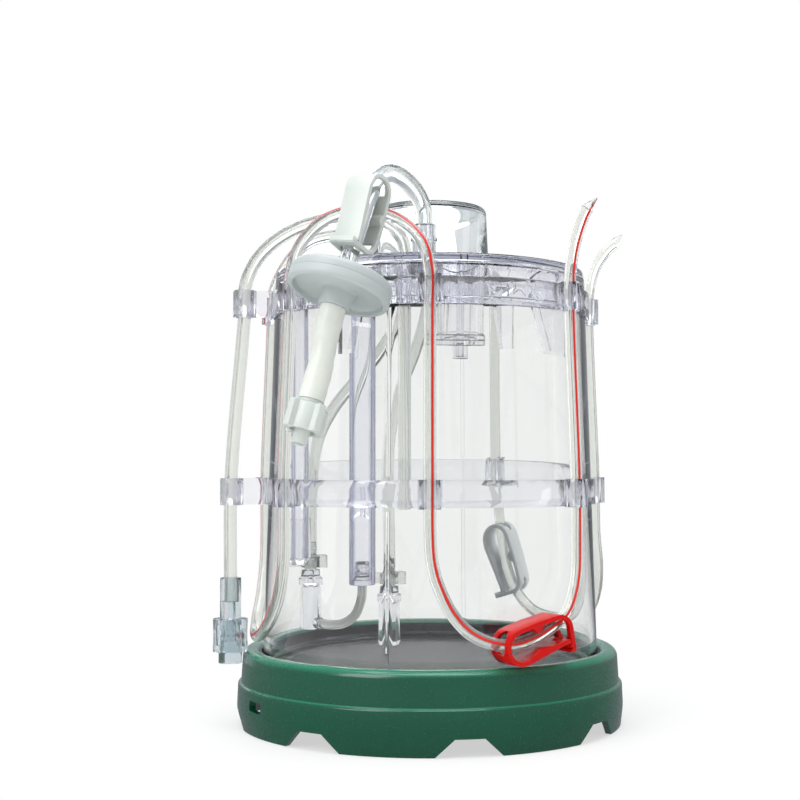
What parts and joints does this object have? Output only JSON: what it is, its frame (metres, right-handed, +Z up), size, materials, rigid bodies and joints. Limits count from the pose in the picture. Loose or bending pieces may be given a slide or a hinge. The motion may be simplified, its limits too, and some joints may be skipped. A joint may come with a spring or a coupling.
{
  "type": "bench bioreactor",
  "caption": "Clear tapered culture vessel in a notched moulded stand, with a ported lid, clip bands holding tubing, pinch clamps, a vent filter and a capped connector.",
  "frame": {"origin": "the vessel's axis at the underside of the stand's feet", "axes": "+Z up along the vessel's axis, -Y to the front, +X to the right seen from the front"},
  "size_m": [0.1798, 0.1881, 0.2293],
  "materials": {
    "clear_plastic": "clear injection moulded, polished",
    "band_plastic": "clear injection moulded, faint lavender",
    "clear_tubing": "clear flexible tubing",
    "striped_tubing": "clear flexible tubing with one red stripe",
    "silicone": "translucent silicone",
    "green_base": "satin moulded",
    "dark_tray": "satin moulded",
    "white_plastic": "white moulded",
    "membrane": "matt film",
    "red_plastic": "red moulded",
    "smoky_plastic": "smoky translucent moulded"
  },
  "bodies": {
    "reactor": {"base_stand": "green_base", "seat_tray": "dark_tray", "vessel": "clear_plastic", "lid": "clear_plastic", "dome_cup": "clear_plastic", "lower_clip_band": "band_plastic", "upper_clip_band": "band_plastic", "probe_well": "clear_plastic", "well_barb": "clear_plastic", "slim_well": "clear_plastic", "slim_well_tip": "clear_plastic", "sensor_cup": "clear_plastic", "sensor_stem": "clear_plastic", "stem_collar": "clear_plastic", "left_dip_fitting": "clear_plastic", "right_dip_fitting": "clear_plastic", "left_tie": "white_plastic", "right_tie": "white_plastic", "left_dip_hose": "clear_tubing", "right_dip_hose": "clear_tubing", "straight_dip_hose": "clear_tubing", "link_hose": "silicone", "sample_line": "clear_tubing", "connector_sleeve": "smoky_plastic", "connector_cap": "smoky_plastic", "striped_line": "striped_tubing", "rear_line": "clear_tubing", "rear_elbow": "clear_plastic", "red_clamp": "red_plastic", "white_clamp": "white_plastic", "vent_clamp": "white_plastic", "vent_spigot": "clear_plastic", "vent_hose": "clear_tubing", "filter_upper": "white_plastic", "filter_membrane": "membrane", "filter_lower": "white_plastic", "filter_sleeve": "silicone", "lock_stem": "white_plastic"},
    "nut": {"connector_nut": "smoky_plastic"},
    "ring": {"lock_ring": "white_plastic"}
  },
  "joints": [
    {"name": "nut_spin", "type": "hinge", "parent": "reactor", "child": "nut", "pos_m": [-0.0841, -0.0194, 0.0386], "axis": [0, 0, 1], "continuous": true},
    {"name": "ring_spin", "type": "hinge", "parent": "reactor", "child": "ring", "pos_m": [-0.04587, -0.09595, 0.12749], "axis": [0.2417, 0.2254, 0.9438], "continuous": true}
  ]
}
